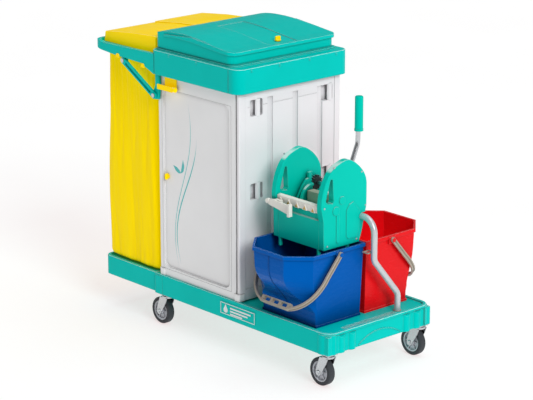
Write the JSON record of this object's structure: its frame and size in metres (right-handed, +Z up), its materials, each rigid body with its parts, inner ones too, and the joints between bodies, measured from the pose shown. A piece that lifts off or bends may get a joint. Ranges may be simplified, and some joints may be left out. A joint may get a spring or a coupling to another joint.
{
  "type": "housekeeping cart",
  "caption": "Wheeled housekeeping cart with a lockable cupboard and lidded tray, a covered waste sack, pouring buckets and a lever wringer.",
  "frame": {"origin": "on the floor, below the middle of the length and of the width", "axes": "+X towards the bucket end, -X towards the sack end, -Y the locker door side, +Z up"},
  "size_m": [1.244, 0.6376, 1.1093],
  "materials": {
    "teal_plastic": "satin moulded",
    "pale_panel": "fine grained",
    "pale_door": "fine grained, with a printed plant motif",
    "pale_wall": "fine grained",
    "yellow_plastic": "satin moulded",
    "yellow_fabric": "coated woven polyester",
    "blue_plastic": "satin moulded",
    "red_plastic": "satin moulded",
    "teal_wringer": "satin moulded",
    "teal_grip": "fine grained",
    "grey_plastic": "satin moulded",
    "white_nylon": "natural nylon",
    "pale_pad": "smooth",
    "steel_tube": "polished tube",
    "silver_tube": "satin silver coating",
    "zinc": "zinc plated",
    "wheel_plastic": "moulded",
    "dark_plastic": "moulded nylon gear",
    "tyre_rubber": "smooth dark rubber",
    "label": "smooth"
  },
  "bodies": {
    "base": {"bag": "yellow_fabric", "bag_clips": "yellow_plastic", "bag_loop": "teal_plastic", "bag_platform": "teal_plastic", "bag_side_panel": "pale_panel", "base_main": "teal_plastic", "blue_bucket": "blue_plastic", "caster_plates": "zinc", "clamp_arm": "white_nylon", "comb_bar": "white_nylon", "corner_posts": "pale_panel", "door_frame": "pale_panel", "fluted_panel": "pale_wall", "hinge_rods": "zinc", "label_plate": "label", "lid_keeper": "teal_plastic", "locker_floor": "pale_panel", "lower_shelf": "pale_panel", "rear_panel": "pale_panel", "strut_pins": "zinc", "strut_posts": "teal_plastic", "struts": "teal_plastic", "support_tube": "silver_tube", "tool_hook": "yellow_plastic", "top_tray": "teal_plastic", "tube_brackets": "grey_plastic", "upper_shelf": "pale_panel", "wringer_basket": "teal_wringer", "wringer_cheek_far": "teal_wringer", "wringer_cheek_near": "teal_wringer", "wringer_rivets": "zinc"},
    "door": {"door": "pale_door", "door_pins": "zinc"},
    "door_key": {"door_key": "yellow_plastic"},
    "tray_lid": {"tray_lid": "teal_plastic"},
    "lid_lock": {"lid_lock": "yellow_plastic"},
    "cover_near": {"cover_near": "yellow_plastic"},
    "cover_far": {"cover_far": "yellow_plastic"},
    "red_bucket": {"red_bucket": "red_plastic"},
    "red_bail": {"red_bail": "grey_plastic"},
    "blue_bail": {"blue_bail": "grey_plastic"},
    "lever": {"cross_shaft": "steel_tube", "pinions": "dark_plastic", "lever_tube": "steel_tube", "lever_grip": "teal_grip"},
    "press": {"press_plate": "teal_wringer", "press_racks": "teal_wringer", "press_block": "pale_pad"},
    "fork_1": {"caster_fork_1": "zinc"},
    "wheel_1": {"wheel_disc_1": "wheel_plastic", "tyre_1": "tyre_rubber"},
    "fork_2": {"caster_fork_2": "zinc"},
    "wheel_2": {"wheel_disc_2": "wheel_plastic", "tyre_2": "tyre_rubber"},
    "fork_3": {"caster_fork_3": "zinc"},
    "wheel_3": {"wheel_disc_3": "wheel_plastic", "tyre_3": "tyre_rubber"},
    "fork_4": {"caster_fork_4": "zinc"},
    "wheel_4": {"wheel_disc_4": "wheel_plastic", "tyre_4": "tyre_rubber"}
  },
  "joints": [
    {"name": "caster_swivel_1", "type": "hinge", "parent": "base", "child": "fork_1", "pos_m": [-0.259, -0.221, 0.109], "axis": [0, 0, 1], "continuous": true},
    {"name": "wheel_spin_1", "type": "hinge", "parent": "fork_1", "child": "wheel_1", "pos_m": [-0.287, -0.221, 0.05], "axis": [0, 1, 0], "continuous": true},
    {"name": "caster_swivel_2", "type": "hinge", "parent": "base", "child": "fork_2", "pos_m": [-0.259, 0.221, 0.109], "axis": [0, 0, 1], "continuous": true},
    {"name": "wheel_spin_2", "type": "hinge", "parent": "fork_2", "child": "wheel_2", "pos_m": [-0.287, 0.221, 0.05], "axis": [0, 1, 0], "continuous": true},
    {"name": "caster_swivel_3", "type": "hinge", "parent": "base", "child": "fork_3", "pos_m": [0.59, -0.221, 0.109], "axis": [0, 0, 1], "continuous": true},
    {"name": "wheel_spin_3", "type": "hinge", "parent": "fork_3", "child": "wheel_3", "pos_m": [0.562, -0.221, 0.05], "axis": [0, 1, 0], "continuous": true},
    {"name": "caster_swivel_4", "type": "hinge", "parent": "base", "child": "fork_4", "pos_m": [0.59, 0.221, 0.109], "axis": [0, 0, 1], "continuous": true},
    {"name": "wheel_spin_4", "type": "hinge", "parent": "fork_4", "child": "wheel_4", "pos_m": [0.562, 0.221, 0.05], "axis": [0, 1, 0], "continuous": true},
    {"name": "door_hinge", "type": "hinge", "parent": "base", "child": "door", "pos_m": [0.114, -0.239, 0.563], "axis": [0, 0, 1], "range_deg": [0, 100]},
    {"name": "door_key_turn", "type": "hinge", "parent": "door", "child": "door_key", "pos_m": [-0.232, -0.234, 0.574], "axis": [0, -1, 0], "range_deg": [0, 90]},
    {"name": "tray_lid_hinge", "type": "hinge", "parent": "base", "child": "tray_lid", "pos_m": [-0.275, 0, 1.084], "axis": [0, -1, 0], "range_deg": [0, 85]},
    {"name": "lid_lock_turn", "type": "hinge", "parent": "tray_lid", "child": "lid_lock", "pos_m": [0.093, 0, 1.08], "axis": [0, 0, -1], "range_deg": [0, 90]},
    {"name": "cover_near_hinge", "type": "hinge", "parent": "base", "child": "cover_near", "pos_m": [-0.307, -0.12, 1.062], "axis": [0, 1, 0], "range_deg": [0, 80]},
    {"name": "cover_far_hinge", "type": "hinge", "parent": "base", "child": "cover_far", "pos_m": [-0.307, 0.12, 1.062], "axis": [0, 1, 0], "range_deg": [0, 80]},
    {"name": "red_bucket_lift", "type": "slide", "parent": "base", "child": "red_bucket", "axis": [0, 0.5, 0.866], "range_m": [0, 0.3]},
    {"name": "red_bail_hinge", "type": "hinge", "parent": "red_bucket", "child": "red_bail", "pos_m": [0.3915, 0.126, 0.44], "axis": [1, 0, 0], "range_deg": [0, 139]},
    {"name": "blue_bail_hinge", "type": "hinge", "parent": "base", "child": "blue_bail", "pos_m": [0.3915, -0.126, 0.44], "axis": [-1, 0, 0], "range_deg": [0, 80]},
    {"name": "lever_pull", "type": "hinge", "parent": "base", "child": "lever", "pos_m": [0.3915, -0.012, 0.622], "axis": [1, 0, 0], "range_deg": [0, 80]},
    {"name": "press_slide", "type": "slide", "parent": "base", "child": "press", "axis": [0, 0, -1], "range_m": [0, 0.034]}
  ],
  "couplings": [
    {"joint": "press_slide", "follows": "lever_pull", "m_per_rad": 0.024}
  ]
}
